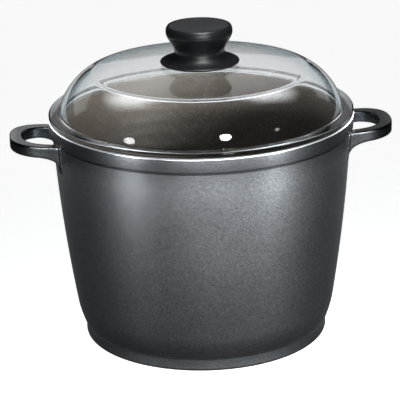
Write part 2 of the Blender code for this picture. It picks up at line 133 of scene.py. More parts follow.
class LidSizes(bpy.types.PropertyGroup):
    thickness: length("Glass thickness", "Thickness of the dome", 4.0 * MM)
    dome_height: length("Dome height", "Height of the dome over the rim", 49.2 * MM)
    crown_share: factor("Crown share", "Crease radius over dome radius", 0.759)
    crown_power: factor("Crown power", "How flat the crown is", 2.4)
    crease: length("Crease", "Softness of the crease round the crown", 0.30 * MM)
    shoulder_height: length("Shoulder height", "Height the shoulder's curve would reach",
                            51.0 * MM)
    side_power: factor("Side power", "How upright the side is", 0.314)
    top_power: factor("Top power", "How round the shoulder is", 1.55)
    flange_width: length("Flange width", "Width of the flat flange", 8.4 * MM)
    flange_height: length("Flange height", "Thickness of the flange", 5.0 * MM)
    flange_edge: length("Flange edge", "Rounding of the flange", 2.0 * MM)
    lip_clearance: length("Lip clearance", "Gap between lip and mouth", 0.9 * MM)
    lip_edge: length("Lip edge", "Rounding of the lip", 0.8 * MM)
    hole: length("Hole radius", "Hole for the screw", 4.0 * MM)


class KnobSizes(bpy.types.PropertyGroup):
    neck_radius: length("Neck radius", "Radius at the waist", 24.5 * MM)
    neck_height: length("Neck height", "Height of the waist over the skirt's base", 11.8 * MM)
    grip_radius: length("Grip radius", "Widest radius of the grip", 32.5 * MM)
    grip_height: length("Grip height", "Height of the widest ring", 31.0 * MM)
    skirt_edge: length("Skirt edge", "Thickness of the skirt's rim", 2.4 * MM)
    seam_depth: length("Seam depth", "Depth of the mould line round the grip", 0.25 * MM)


class FinishColours(bpy.types.PropertyGroup):
    lacquer: colour("Lacquer", "Grained lacquer on the outside", (0.360, 0.385, 0.405))
    lacquer_dark: colour("Lacquer pits", "Hollows of the grain", (0.200, 0.216, 0.230))
    # Painted shade: near-black colour laid over the lacquer in the groove under the band and on
    # the wall towards the rim, standing in for the band's shadow.
    painted_shade: colour("Lacquer shade", "Lacquer in the groove and towards the rim",
                          (0.020, 0.022, 0.024))
    # Strength of the painted shadow in the groove under the band.
    groove_painted_shade: fraction("Groove shade", "Darkening of the line under the band", 0.8)
    # Strength of the painted shade on the wall towards the rim and on the band.
    band_painted_shade: fraction("Band shade", "Darkening of the lacquer towards the rim", 0.9)
    coating: colour("Coating", "Non-stick coating inside", (0.044, 0.035, 0.027))
    speck: colour("Specks", "Mineral specks in the coating", (0.22, 0.21, 0.18))
    bare_metal: colour("Bare metal", "Turned aluminium", (0.36, 0.37, 0.38))
    glass: colour("Glass", "Tint of the lid", (0.972, 0.990, 0.996))
    glass_edge: colour("Glass edge", "Tint where the glass is looked through edge on",
                       (0.30, 0.46, 0.55))
    phenolic: colour("Phenolic", "Knob moulding", (0.007, 0.0075, 0.0085))
    cap: colour("Cap", "Disc let into the knob", (0.028, 0.030, 0.033))
    silicone: colour("Silicone", "Seals of the lid", (0.78, 0.80, 0.79))
    steel: colour("Steel", "Screw and washers", (0.62, 0.62, 0.61))
    brass: colour("Brass", "Threaded insert", (0.80, 0.60, 0.29))
    floor: colour("Floor", "Floor and backdrop", (0.95, 0.95, 0.95))


class StageSettings(bpy.types.PropertyGroup):
    turn: turn_by("View turn", "Camera's turn round the pot", -0.084)
    roll: turn_by("Roll", "Camera's roll", -0.0255)
    distance: length("Distance", "Camera's distance on the floor plan", 1.890)
    height: length("Height", "Camera's height", 0.796)
    aim_z: length("Aim height", "Height the camera looks at", 0.1325)
    aim_x: length("Aim offset", "Sideways offset of the aim", -0.0032)
    lens: factor("Lens", "Focal length on a 36 mm frame", 180.9)


# ---- shader maths ----


class Wire:
    """A shader socket; sums and products of wires add the nodes that work them out."""

    def __init__(self, sheet, socket):
        self.sheet = sheet
        self.socket = socket

    def _joined(self, sign, other, swapped):
        kinds = {self.socket.type}
        if isinstance(other, Wire):
            kinds.add(other.socket.type)
        elif not isinstance(other, (int, float)):
            kinds.add("RGBA" if "RGBA" in kinds else "VECTOR")
        first, second = (other, self) if swapped else (self, other)
        if "RGBA" in kinds:
            return self.sheet.node("ShaderNodeMix", {"data_type": "RGBA", "blend_type": sign},
                                   {0: 1.0, 6: first, 7: second}, 2)
        if "VECTOR" in kinds:
            if sign == "MULTIPLY" and not isinstance(second, (tuple, Vector)):
                return self.sheet.node("ShaderNodeVectorMath", {"operation": "SCALE"},
                                       {0: first, 3: second})
            return self.sheet.node("ShaderNodeVectorMath", {"operation": sign},
                                   {0: first, 1: second})
        return self.sheet.node("ShaderNodeMath", {"operation": sign}, {0: first, 1: second})

    def __add__(self, other):
        return self._joined("ADD", other, False)

    def __radd__(self, other):
        return self._joined("ADD", other, True)

    def __sub__(self, other):
        return self._joined("SUBTRACT", other, False)

    def __rsub__(self, other):
        return self._joined("SUBTRACT", other, True)

    def __mul__(self, other):
        return self._joined("MULTIPLY", other, False)

    def __rmul__(self, other):
        return self._joined("MULTIPLY", other, False)

    def __truediv__(self, other):
        return self._joined("DIVIDE", other, False)

    def __pow__(self, other):
        return self.sheet.node("ShaderNodeMath", {"operation": "POWER"}, {0: self, 1: other})

    def ramp(self, low, high, to_low=0.0, to_high=1.0):
        """The wire carried smoothly from low..high to to_low..to_high, and held outside."""
        return self.sheet.node("ShaderNodeMapRange", {"interpolation_type": "SMOOTHSTEP"},
                               {0: self, 1: low, 2: high, 3: to_low, 4: to_high})

    def blend(self, low, high):
        """Colour from low to high as the wire goes from 0 to 1."""
        return self.sheet.node("ShaderNodeMix", {"data_type": "RGBA"},
                               {0: self, 6: low, 7: high}, 2)


class Sheet:
    """Node sheet of one material, ending in a Principled surface."""

    def __init__(self, name):
        self.material = bpy.data.materials.new(name)
        self.material.use_nodes = True
        self.tree = self.material.node_tree
        self.surface = self.tree.nodes["Principled BSDF"]

    def node(self, kind, settings=None, sockets=None, output=0):
        """Add a node: its settings first, then the values or wires of its sockets."""
        made = self.tree.nodes.new(kind)
        for key, value in (settings or {}).items():
            setattr(made, key, value)
        for key, value in (sockets or {}).items():
            self.feed(made.inputs[key], value)
        return Wire(self, made.outputs[output])

    def feed(self, socket, value):
        if isinstance(value, Wire):
            self.tree.links.new(value.socket, socket)
            return
        if socket.type in ("RGBA", "VECTOR") and isinstance(value, (int, float)):
            value = (value, value, value)
        socket.default_value = (*value, 1.0) if socket.type == "RGBA" else value

    def paint(self, **sockets):
        """Set the Principled surface's own sockets; underscores stand for spaces."""
        for key, value in sockets.items():
            self.feed(self.surface.inputs[key.replace("_", " ")], value)
        return self.material

    def place(self):
        return self.node("ShaderNodeTexCoord", None, None, "Object")

    def noise(self, place, scale, detail=2.0, roughness=0.5):
        return self.node("ShaderNodeTexNoise", {"noise_dimensions": "3D"},
                         {"Vector": place, "Scale": scale, "Detail": detail,
                          "Roughness": roughness})

    def cells(self, place, scale, output="Color"):
        return self.node("ShaderNodeTexVoronoi", {"feature": "F1"},
                         {"Vector": place, "Scale": scale}, output)

    def bump(self, height, strength, distance):
        return self.node("ShaderNodeBump", None,
                         {"Height": height, "Strength": strength, "Distance": distance})

    def apart(self, place, output):
        return self.node("ShaderNodeSeparateXYZ", None, {0: place}, output)


def grained_lacquer(colours):
    """Sprayed grey lacquer over a blasted casting: fine metallic grain, with painted shade
    darkening the groove under the band and the wall towards the rim.
    """
    sheet = Sheet("grained_lacquer")
    place = sheet.place()
    grain = sheet.noise(place, 780.0, 2.0, 0.6)
    flakes = sheet.apart(sheet.cells(place, 820.0), "X")
    cast = sheet.noise(place, 130.0, 2.0, 0.5)
    wide = sheet.noise(place, 14.0, 2.0, 0.5)
    tone = grain.ramp(0.30, 0.70) * 0.50 + flakes * 0.42 + wide * 0.08
    pot = bpy.context.scene.pot_sizes
    band_foot = pot.rim_z - pot.collar_height
    level = sheet.apart(place, "Z")
    # Painted shadow: a thin strip under the band, where its overhang shades the wall.
    groove = (level.ramp(band_foot - 3.2 * MM, band_foot - 2.4 * MM)
              * level.ramp(band_foot - 0.2 * MM, band_foot + 0.4 * MM, 1.0, 0.0))
    # Painted shade: the wall darkens over 22 mm towards the band, and the band itself is darker
    # still.
    band = (level.ramp(band_foot - 22.0 * MM, band_foot) * 0.45
            + level.ramp(band_foot - 0.5 * MM, band_foot + 1.0 * MM) * 0.27)
    base = tone.blend(colours.lacquer_dark, colours.lacquer)
    base = (band * colours.band_painted_shade).blend(base, colours.painted_shade)
    base = (groove * colours.groove_painted_shade).blend(base, colours.painted_shade)
    rough = 0.25 + (grain - 0.5) * 0.08 + (wide - 0.5) * 0.03
    relief = grain * 0.8 + cast * 0.05
    return sheet.paint(Base_Color=base, Roughness=rough, Metallic=1.0,
                       Normal=sheet.bump(relief, 0.06, 0.0008))


def speckled_coating(colours):
    """Dark brown non-stick coating with mineral specks and faint turning rings."""
    sheet = Sheet("speckled_coating")
    place = sheet.place()
    specks = sheet.cells(place, 760.0, "Distance").ramp(0.12, 0.40, 1.0, 0.0)
    chosen = sheet.apart(sheet.cells(place, 760.0), "Y").ramp(0.25, 0.75)
    dust = sheet.noise(place, 1100.0, 2.0, 0.7).ramp(0.50, 0.72)
    cloud = sheet.noise(place, 26.0, 3.0, 0.55)
    mask = specks * chosen * 0.7 + dust * 0.3
    base = mask.blend(cloud.blend(tuple(0.75 * c for c in colours.coating), colours.coating),
                      colours.speck)
    rough = 0.42 + cloud * 0.12
    rings = sheet.node("ShaderNodeTexWave", {"wave_type": "BANDS", "bands_direction": "Z"},
                       {"Vector": place, "Scale": 22.0, "Distortion": 0.5, "Detail": 1.0})
    height = dust * 0.2 + rings * 0.8
    return sheet.paint(Base_Color=base, Roughness=rough, Metallic=0.30,
                       Normal=sheet.bump(height, 0.30, 0.0005))


def turned_metal(name, tint, ring_scale, rough, strength=0.12, depth=0.0003):
    """Metal faced on a lathe: fine rings round the axis and small scratches."""
    sheet = Sheet(name)
    place = sheet.place()
    level = sheet.node("ShaderNodeVectorMath", {"operation": "MULTIPLY"},
                       {0: place, 1: (1, 1, 0)})
    radius = sheet.node("ShaderNodeVectorMath", {"operation": "LENGTH"}, {0: level}, "Value")
    rings = sheet.node("ShaderNodeTexNoise", {"noise_dimensions": "1D"},
                       {"W": radius * ring_scale, "Scale": 1.0, "Detail": 3.0, "Roughness": 0.6})
    smear = sheet.noise(place, 60.0, 3.0, 0.6)
    tone = rings * 0.5 + smear * 0.5
    base = tone.ramp(0.30, 0.75).blend(tuple(0.82 * c for c in tint), tint)
    return sheet.paint(Base_Color=base, Roughness=rough + (tone - 0.5) * 0.22, Metallic=1.0,
                       Normal=sheet.bump(rings, strength, depth))


def clear_glass(colours):
    """Pressed and tempered glass with a slow waviness left by the mould."""
    sheet = Sheet("pressed_glass")
    place = sheet.place()
    wave = sheet.noise(place, 24.0, 1.0, 0.4)
    edge_on = sheet.node("ShaderNodeLayerWeight", None, {"Blend": 0.5}, "Facing").ramp(0.40, 0.90)
    upright = sheet.apart(sheet.node("ShaderNodeNewGeometry", None, None, "Normal"), "Z").ramp(
        0.30, 0.75, 1.0, 0.0)
    tint = (edge_on * upright).blend(colours.glass, colours.glass_edge)
    return sheet.paint(Base_Color=tint, Roughness=0.0, Transmission_Weight=1.0, IOR=1.5,
                       Normal=sheet.bump(wave, 0.04, 0.0016))


def satin_phenolic(colours):
    """Moulded phenolic: near black, fine moulding texture, with a cloudy tone and roughness."""
    sheet = Sheet("satin_phenolic")
    place = sheet.place()
    fine = sheet.noise(place, 900.0, 2.0, 0.6)
    cloud = sheet.noise(place, 60.0, 3.0, 0.55)
    base = cloud.blend(colours.phenolic, tuple(1.7 * c for c in colours.phenolic))
    rough = 0.37 + (fine - 0.5) * 0.16 + (cloud - 0.5) * 0.12
    return sheet.paint(Base_Color=base, Roughness=rough, Specular_IOR_Level=0.55,
                       Normal=sheet.bump(fine * 0.7 + cloud * 0.3, 0.26, 0.0006))


def cap_plastic(colours):
    """Smoother black disc on top of the knob, with a faint brushed sheen."""
    sheet = Sheet("cap_plastic")
    place = sheet.place()
    streak = sheet.node("ShaderNodeVectorMath", {"operation": "MULTIPLY"},
                        {0: place, 1: (12, 1, 1)})
    brushed = sheet.noise(streak, 260.0, 2.0, 0.6)
    base = brushed.blend(colours.cap, tuple(1.9 * c for c in colours.cap))
    return sheet.paint(Base_Color=base, Roughness=0.30 + brushed * 0.16, Coat_Weight=0.15,
                       Normal=sheet.bump(brushed, 0.08, 0.0003))


def soft_silicone(colours):
    """Milky silicone rubber with a dusty surface."""
    sheet = Sheet("soft_silicone")
    place = sheet.place()
    dust = sheet.noise(place, 700.0, 3.0, 0.6)
    base = dust.blend(tuple(0.9 * c for c in colours.silicone), colours.silicone)
    return sheet.paint(Base_Color=base, Roughness=0.42 + dust * 0.2,
                       Normal=sheet.bump(dust, 0.12, 0.0003))


def pale_floor(colours):
    sheet = Sheet("pale_floor")
    place = sheet.place()
    grain = sheet.noise(place, 3.0, 2.0, 0.5)
    base = grain.blend(tuple(0.97 * c for c in colours.floor), colours.floor)
    return sheet.paint(Base_Color=base, Roughness=0.9, Specular_IOR_Level=0.1,
                       Emission_Color=(1, 1, 1), Emission_Strength=0.93)


FINISHES = {}
FINE_RINGS, COARSE_RINGS = 9000.0, 1800.0


def finish(name):
    """Material of that name, made the first time it is asked for."""
    if name not in FINISHES:
        colours = bpy.context.scene.pot_colours
        makers = {
            "lacquer": lambda: grained_lacquer(colours),
            "coating": lambda: speckled_coating(colours),
            "rim": lambda: turned_metal("turned_rim", colours.bare_metal, FINE_RINGS, 0.44),
            "glass": lambda: clear_glass(colours),
            "phenolic": lambda: satin_phenolic(colours),
            "cap": lambda: cap_plastic(colours),
            "silicone": lambda: soft_silicone(colours),
            "disc": lambda: turned_metal("turned_steel", colours.steel, COARSE_RINGS, 0.30, 0.35),
            "steel": lambda: turned_metal("bright_steel", colours.steel, FINE_RINGS, 0.24),
            "brass": lambda: turned_metal("turned_brass", colours.brass, FINE_RINGS, 0.28),
            "floor": lambda: pale_floor(colours),
        }
        FINISHES[name] = makers[name]()
    return FINISHES[name]


# ---- shaping helpers ----


def arc(centre_r, centre_z, radius, start, end, steps, height=None):
    """Points of an arc in the profile plane, in degrees; a height makes it an ellipse's."""
    tall = radius if height is None else height
    points = []
    for step in range(steps + 1):
        angle = math.radians(start + (end - start) * step / steps)
        points.append((centre_r + radius * math.cos(angle), centre_z + tall * math.sin(angle)))
    return points


def rounded(corners, steps=4):
    """Profile through (radius, height, rounding) corners, each rounding made an arc."""
    points = []
    count = len(corners)
    for i, (r, z, rounding) in enumerate(corners):
        here = Vector((r, z))
        before = Vector(corners[i - 1][:2])
        after = Vector(corners[(i + 1) % count][:2])
        if not rounding or i in (0, count - 1) and r < 1e-6:
            points.append((r, z))
            continue
        one, two = (before - here), (after - here)
        reach = min(rounding, one.length * 0.49, two.length * 0.49)
        a, b = here + one.normalized() * reach, here + two.normalized() * reach
        for step in range(steps + 1):
            t = step / steps
            spot = a * (1 - t) ** 2 + here * 2 * t * (1 - t) + b * t ** 2
            points.append((spot.x, spot.y))
    return points


def turned(name, profile, body, surfaces, segments, closed=False, choose=None):
    """Revolve a profile about Z into a smooth piece; choose picks each face's surface."""
    mesh = bpy.data.meshes.new(name)
    count = len(profile)
    edges = [(i, i + 1) for i in range(count - 1)] + ([(count - 1, 0)] if closed else [])
    mesh.from_pydata([(r, 0.0, z) for r, z in profile], edges, [])
    draft = add_object(name + "_draft", mesh)
    screw = draft.modifiers.new("Turn", "SCREW")
    screw.axis = "Z"
    screw.steps = segments
    screw.render_steps = segments
    screw.use_merge_vertices = True
    screw.merge_threshold = 0.00001
    solid = evaluated_mesh(draft)
    bpy.data.objects.remove(draft, do_unlink=True)
    return settle(name, solid, body, surfaces, choose)


def settle(name, mesh, body, surfaces, choose=None, angle=38.0):
    """Turn a mesh into a finished piece that rides on a body."""
    mesh.name = name
    piece = add_object(name, mesh)
    mesh.materials.clear()
    for surface in surfaces:
        mesh.materials.append(finish(surface))
    if choose:
        for face in mesh.polygons:
            face.material_index = choose(face.center)
    mesh.shade_smooth()
    mesh.set_sharp_from_angle(angle=math.radians(angle))
    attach(piece, body)
    return piece


def mesh_from(form, name):
    """Mesh of a bmesh, which is freed."""
    mesh = bpy.data.meshes.new(name)
    form.to_mesh(mesh)
    form.free()
    return mesh


def add_object(name, data):
    made = bpy.data.objects.new(name, data)
    bpy.context.scene.collection.objects.link(made)
    return made


def evaluated_mesh(thing):
    """Mesh of an object with its modifiers applied."""
    bpy.context.view_layer.update()
    state = bpy.context.evaluated_depsgraph_get()
    return bpy.data.meshes.new_from_object(thing.evaluated_get(state))


def skin(rows):
    """Mesh through rows of points, each row a closed ring of the same count, with end caps."""
    form = bmesh.new()
    rings = [[form.verts.new(point) for point in row] for row in rows]
    count = len(rows[0])
    for low, high in zip(rings, rings[1:]):
        for i in range(count):
            j = (i + 1) % count
            form.faces.new((low[i], low[j], high[j], high[i]))
    form.faces.new(rings[0][::-1])
    form.faces.new(rings[-1])
    bmesh.ops.recalc_face_normals(form, faces=form.faces)
    return mesh_from(form, "skin")


# ---- the pot ----


def wall_radius(sizes, z):
    """Outer radius of the wall at height z: a long arc with a rounder heel."""
    below = sizes.rim_z - sizes.collar_height - z
    lean = sizes.wall_slope * below + sizes.wall_belly * below * below
    heel = max(0.0, sizes.heel_z - z)
    return sizes.rim_radius - sizes.collar_step - lean - sizes.heel_bend * heel * heel


def wall_line(sizes, start, end, steps, inward=0.0):
    """Profile points along the wall, moved inward for the inside."""
    heights = [start + (end - start) * step / steps for step in range(steps + 1)]
    return [(wall_radius(sizes, z) - inward, z) for z in heights]


class STOCKPOT_OT_pot(bpy.types.Operator):
    """Turn the pot: coated inside, bare rim edge, lacquered wall, foot ring and recess"""
    bl_idname = "stockpot.pot"
    bl_label = "Pot"

    def execute(self, context):
        s = context.scene.pot_sizes
        collar_z = s.rim_z - s.collar_height
        mouth = wall_radius(s, collar_z) - s.wall
        corner = s.floor_z + s.floor_corner
        corner_r = wall_radius(s, corner) - s.wall
        points = [(0.0, s.floor_z), (corner_r / 2, s.floor_z)]
        points += arc(corner_r - s.floor_corner, corner, s.floor_corner, -90, 0, 16)
        points += wall_line(s, corner, collar_z, 40, s.wall)[1:]
        points += arc(mouth + s.mouth_edge, s.rim_z - s.mouth_edge, s.mouth_edge, 180, 90, 6)
        rim, turn = s.rim_radius, s.rim_chamfer
        turn_z = s.rim_z - turn
        points += [(rim - turn - 0.5 * MM, s.rim_z), (rim - turn, s.rim_z - 0.05 * MM),
                   (rim - 0.15 * MM, turn_z + 0.1 * MM), (rim, turn_z - 0.2 * MM),
                   (rim, turn_z - 1.0 * MM)]
        points += arc(rim - s.band_draft - s.band_edge, collar_z + s.band_edge + 0.1 * MM,
                      s.band_edge, 0, -80, 8)
        points.append((wall_radius(s, collar_z) + 0.4 * MM, collar_z - 0.05 * MM))
        wall_top = collar_z - 0.4 * MM
        foot_top = s.foot_height + 0.8 * MM
        points += wall_line(s, wall_top, s.heel_z, 56)[:-1]
        points += wall_line(s, s.heel_z, foot_top, 11)
        foot_r = wall_radius(s, foot_top) - 0.56 * MM
        points += [(foot_r + 0.12 * MM, s.foot_height + 0.35 * MM),
                   (foot_r, s.foot_height - 0.2 * MM)]
        points += arc(foot_r - s.foot_edge, s.foot_edge, s.foot_edge, 0, -90, 10)
        recess_r = DISC_HIGH.x + s.gap
        recess_z = DISC_HIGH.z + s.gap
        points += [(recess_r + 0.4 * MM, 0.0), (recess_r, 0.4 * MM), (recess_r, recess_z),
                   (0.0, recess_z)]
        surfaces = ["lacquer", "coating", "rim", "disc"]
        near = 0.1 * MM

        def choose(centre):
            radius = math.hypot(centre.x, centre.y)
            if centre.z > turn_z - near and radius > mouth + 0.9 * MM:
                return surfaces.index("rim")
            if radius < mouth + 1.2 * MM and centre.z > s.floor_z - near:
                if radius < wall_radius(s, max(centre.z, s.floor_z)) - s.wall / 2:
                    return surfaces.index("coating")
            if centre.z < near or radius < recess_r + near and centre.z < recess_z + near:
                return surfaces.index("disc")
            return surfaces.index("lacquer")

        pot = turned("pot", points, "pot", surfaces, s.segments, choose=choose)
        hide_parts("pot_casting")
        return {"FINISHED"}


class STOCKPOT_OT_handles(bpy.types.Operator):
    """Shape both loop handles, with their gussets and root fillets, as cast on the pot"""
    bl_idname = "stockpot.handles"
    bl_label = "Handles"

    def execute(self, context):
        pot = context.scene.pot_sizes
        s = context.scene.pot_handles
        centre_x = pot.rim_radius - s.inset
        top_z = pot.rim_z - s.below_rim
        gusset_x = centre_x + s.gusset_reach
        under_z = top_z + s.rise * s.gusset_reach - s.thickness
        gusset_low = under_z - s.gusset_drop
        end_x = math.sqrt(wall_radius(pot, gusset_low) ** 2 - s.half_width ** 2) - 0.4 * MM
        width = gusset_x - end_x

        def top(x):
            return top_z + s.rise * (x - centre_x)

        def under(x):
            if x >= gusset_x:
                return top(x) - s.thickness
            share = min(1.0, (gusset_x - x) / width)
            return under_z - s.gusset_drop * (1 - math.sqrt(1 - share * share))

        def wall_x(y, z):
            return math.sqrt(wall_radius(pot, z) ** 2 - y * y)

        def loop(reach, half_width, angle):
            power = 2.0 / s.roundness
            along = max(0.0, math.cos(angle)) ** power
            across = math.copysign(abs(math.sin(angle)) ** power, math.sin(angle))
            return centre_x + reach * along, half_width * across

        def section(low_z, high_z):
            """Round the band's section: (share across, height, outward across, outward up)."""
            points = []
            r = min(s.edge, (high_z - low_z) * 0.45)
            across = r / s.band
            corners = ((across, high_z - r, 180, 90), (1 - across, high_z - r, 90, 0),
                       (1 - across, low_z + r, 0, -90), (across, low_z + r, -90, -180))
            for u, z, start, end in corners:
                for step in range(7):
                    angle = math.radians(start + (end - start) * step / 6)
                    points.append((u + across * math.cos(angle), z + r * math.sin(angle),
                                   math.cos(angle), math.sin(angle)))
            full = []
            for i, here in enumerate(points):
                after = points[(i + 1) % len(points)]
                full.append(here)
                if i % 7 == 6:
                    for step in range(1, 6):
                        t = step / 6
                        full.append(tuple(a + (b - a) * t for a, b in zip(here, after)))
            return full

        hole_half = s.half_width - s.band
        rows = []
        leg_shares = [-0.16, -0.08, 0.0, 0.03, 0.06, 0.09, 0.13, 0.18, 0.24, 0.32, 0.42, 0.54,
                      0.68, 0.84]
        stations = [(-1, share) for share in leg_shares]
        stations += [(0, -math.pi / 2 + math.pi * step / 72) for step in range(73)]
        stations += [(1, share) for share in leg_shares[::-1]]
        for leg, value in stations:
            row = []
            if leg:
                mid_x = end_x + (centre_x - end_x) * max(value, 0.0)
                for u, z, across, up in section(under(mid_x), top(mid_x)):
                    y = leg * (s.half_width - u * s.band)
                    start = wall_x(y, min(z, pot.rim_z - pot.collar_height))
                    x = start + (centre_x - start) * value
                    gap = max(0.0, x - start)
                    flare = 0.0
                    if gap < s.root:
                        flare = s.root - math.sqrt(max(0.0, s.root ** 2 - (s.root - gap) ** 2))
                    lean = top(x) - top(mid_x)
                    row.append((x, y + leg * -across * flare, z + lean * 0.5 + up * flare))
            else:
                outer = loop(s.reach, s.half_width, value)
                inner = loop(s.reach - s.band, hole_half, value)
                mid_x = (outer[0] + inner[0]) / 2
                for u, z, across, up in section(under(mid_x), top(mid_x)):
                    x = outer[0] + (inner[0] - outer[0]) * u
                    y = outer[1] + (inner[1] - outer[1]) * u
                    share = (z - under(mid_x)) / (top(mid_x) - under(mid_x))
                    level = under(x) + (top(x) - under(x)) * share
                    row.append((x, y, level))
            rows.append(row)
        mesh = skin(rows)
        for side, angle in (("right", 0.0), ("left", math.pi)):
            shape = mesh.copy()
            shape.transform(Matrix.Rotation(angle, 4, "Z"))
            handle = settle("handle_" + side, shape, "pot", ["lacquer"], angle=50.0)
            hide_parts("pot_casting")
        return {"FINISHED"}


class STOCKPOT_OT_base(bpy.types.Operator):
    """Face the steel disc of the base with shallow turned grooves"""
    bl_idname = "stockpot.base"
    bl_label = "Base disc"

    def execute(self, context):
        outer, high = DISC_HIGH.x, DISC_HIGH.z
        edge, groove, depth, half = 0.3 * MM, 2.0 * MM, 0.12 * MM, 0.35 * MM
        points = [(0.0, high), (outer - edge, high), (outer, high - edge), (outer, edge),
                  (outer - edge, 0.0)]
        for k in range(5, 45):
            r = outer - k * groove
            points += [(r + half, 0.0), (r, depth), (r - half, 0.0)]
        points += [(4.0 * MM, 0.0), (3.5 * MM, depth * 3), (0.0, depth * 3)]
        disc = turned("steel_base_disc", points, "pot", ["disc"], 128)
        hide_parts("base_disc")
        return {"FINISHED"}


# ---- the lid ----


class STOCKPOT_OT_glass(bpy.types.Operator):
    """Press the glass lid: shallow crown, crease, round shoulder, thick flange and lip"""
    bl_idname = "stockpot.glass"
    bl_label = "Glass lid"

    def execute(self, context):
        s = context.scene.pot_lid
        pot = context.scene.pot_sizes
        flange_r = GLASS_HIGH.y
        dome_r = flange_r - s.flange_width
        seat_z = pot.rim_z + pot.gap

        def shoulder(radius):
            fall = 1 - (radius / dome_r) ** (2 / s.side_power)
            return s.shoulder_height * max(0.0, fall) ** (s.top_power / 2)

        crease_r = dome_r * s.crown_share
        crown_fall = s.dome_height - shoulder(crease_r)

        def dome(radius):
            """Height of the outer face: a shallow crown, a soft crease and a round shoulder."""
            crown = s.dome_height - crown_fall * (radius / crease_r) ** s.crown_power
            lower, upper = sorted((crown, shoulder(radius)))
            return seat_z + lower - s.crease * math.log(1 + math.exp(-(upper - lower) / s.crease))

        last = (s.flange_height + 1.2 * MM) / s.shoulder_height
        full_r = dome_r * (1 - last ** (2 / s.top_power)) ** (s.side_power / 2)
        radii = [s.hole + (crease_r - 5.0 * MM - s.hole) * step / 30 for step in range(1, 31)]
        radii += [crease_r + step * 0.4 * MM for step in range(-12, 16)]
        first = radii[-1]
        radii += [full_r - (full_r - first) * (1 - step / 44) ** 1.6 for step in range(1, 45)]
        outer = [(radius, dome(radius)) for radius in radii]
        inner = []
        for i, (r, z) in enumerate(outer):
            before, after = outer[max(0, i - 1)], outer[min(len(outer) - 1, i + 1)]
            dr, dz = after[0] - before[0], after[1] - before[1]
            size = math.hypot(dr, dz)
            inner.append((r + dz / size * s.thickness, z - dr / size * s.thickness))
        inner = [point for point in inner if point[0] > s.hole]
        crown_z = seat_z + s.dome_height
        top_z = seat_z + s.flange_height
        lip_r = wall_radius(pot, pot.rim_z - pot.collar_height) - pot.wall - s.lip_clearance
        inner_r = dome_r - s.thickness
        points = [(s.hole, crown_z - 0.3 * MM), (s.hole + 0.3 * MM, crown_z)]
        points += [point for point in outer if point[0] > s.hole + 0.4 * MM]
        points += arc(outer[-1][0] + 1.5 * MM, top_z + 1.1 * MM, 1.1 * MM, 195, 270, 6)
        points += arc(flange_r - s.flange_edge, top_z - s.flange_edge, s.flange_edge, 90, 0, 10)
        points += arc(flange_r - 0.6 * MM, seat_z + 0.6 * MM, 0.6 * MM, 0, -90, 4)
        points += [(lip_r + 0.4 * MM, seat_z), (lip_r, seat_z - 0.3 * MM)]
        points += arc(lip_r - s.lip_edge, GLASS_LOW.z + s.lip_edge, s.lip_edge, 0, -90, 5)
        points += arc(inner_r + s.lip_edge, GLASS_LOW.z + s.lip_edge, s.lip_edge, -90, -180, 5)
        points += [(inner_r, seat_z + 2.0 * MM)]
        points += inner[::-1]
        under_z = crown_z - s.thickness
        points += [(s.hole + 0.3 * MM, under_z), (s.hole, under_z + 0.3 * MM)]
        lid = turned("glass_lid", points, "lid", ["glass"], pot.segments,
                     closed=True)
        lid.visible_shadow = False
        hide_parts("lid_glass")
        return {"FINISHED"}


class STOCKPOT_OT_knob(bpy.types.Operator):
    """Mould the knob: skirt, waist and rounded grip, and let the smooth cap into its top"""
    bl_idname = "stockpot.knob"
    bl_label = "Knob and cap"

    def execute(self, context):
        s = context.scene.pot_knob
        gap = context.scene.pot_sizes.gap
        base, top = KNOB_LOW.z, KNOB_HIGH.z
        skirt_r = KNOB_HIGH.x
        cap_r = CAP_HIGH.x
        neck_z, grip_z = base + s.neck_height, base + s.grip_height
        recess_r = cap_r + gap
        recess_z = CAP_LOW.z - gap
        rim_r = recess_r + 0.6 * MM
        points = [(0.0, recess_z), (recess_r, recess_z), (recess_r, top - 0.15 * MM),
                  (recess_r + 0.15 * MM, top), (rim_r, top)]
        points += arc(rim_r, grip_z, s.grip_radius - rim_r, 90, 0, 16, top - grip_z)[1:]
        points += [(s.grip_radius - s.seam_depth * 0.4, grip_z - 0.25 * MM),
                   (s.grip_radius - s.seam_depth, grip_z - 0.5 * MM),
                   (s.grip_radius - s.seam_depth * 0.6, grip_z - 0.75 * MM)]
        for step in range(2, 33):
            share = step / 32
            ease = 0.5 - 0.5 * math.cos(math.pi * share)
            points.append((s.grip_radius + (s.neck_radius - s.grip_radius) * ease,
                           grip_z + (neck_z - grip_z) * share))
        skirt_top = base + s.skirt_edge
        half_edge = s.skirt_edge / 2
        width = skirt_r - half_edge - s.neck_radius
        points += arc(s.neck_radius + width, neck_z, width, 180, 90, 20, skirt_top - neck_z)[1:]
        points += arc(skirt_r - half_edge, base + half_edge, half_edge, 70, -90, 10)
        pocket_r = INSERT_HIGH.x + gap
        pocket_z = INSERT_HIGH.z + gap
        points += [(skirt_r - 4.0 * MM, base), (skirt_r - 4.5 * MM, base + 0.5 * MM),
                   (pocket_r + 9.0 * MM, base + 0.5 * MM), (pocket_r + 8.5 * MM, base)]
        points += [(pocket_r + 0.3 * MM, base), (pocket_r, base + 0.3 * MM), (pocket_r, pocket_z),
                   (0.0, pocket_z)]
        knob = turned("knob", points, "knob", ["phenolic"], 160)
        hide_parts("knob_body")
        low, high = CAP_LOW.z, CAP_HIGH.z
        points = [(0.0, high - 0.12 * MM), (cap_r - 3.0 * MM, high - 0.10 * MM),
                  (cap_r - 2.4 * MM, high - 0.25 * MM), (cap_r - 1.9 * MM, high - 0.02 * MM),
                  (cap_r - 1.2 * MM, high)]
        points += arc(cap_r - 0.4 * MM, high - 0.4 * MM, 0.4 * MM, 90, 0, 4)
        points += [(cap_r, low + 0.2 * MM), (cap_r - 0.2 * MM, low), (0.0, low)]
        cap = turned("cap_disc", points, "knob", ["cap"], 160)
        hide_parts("knob_cap")
        return {"FINISHED"}


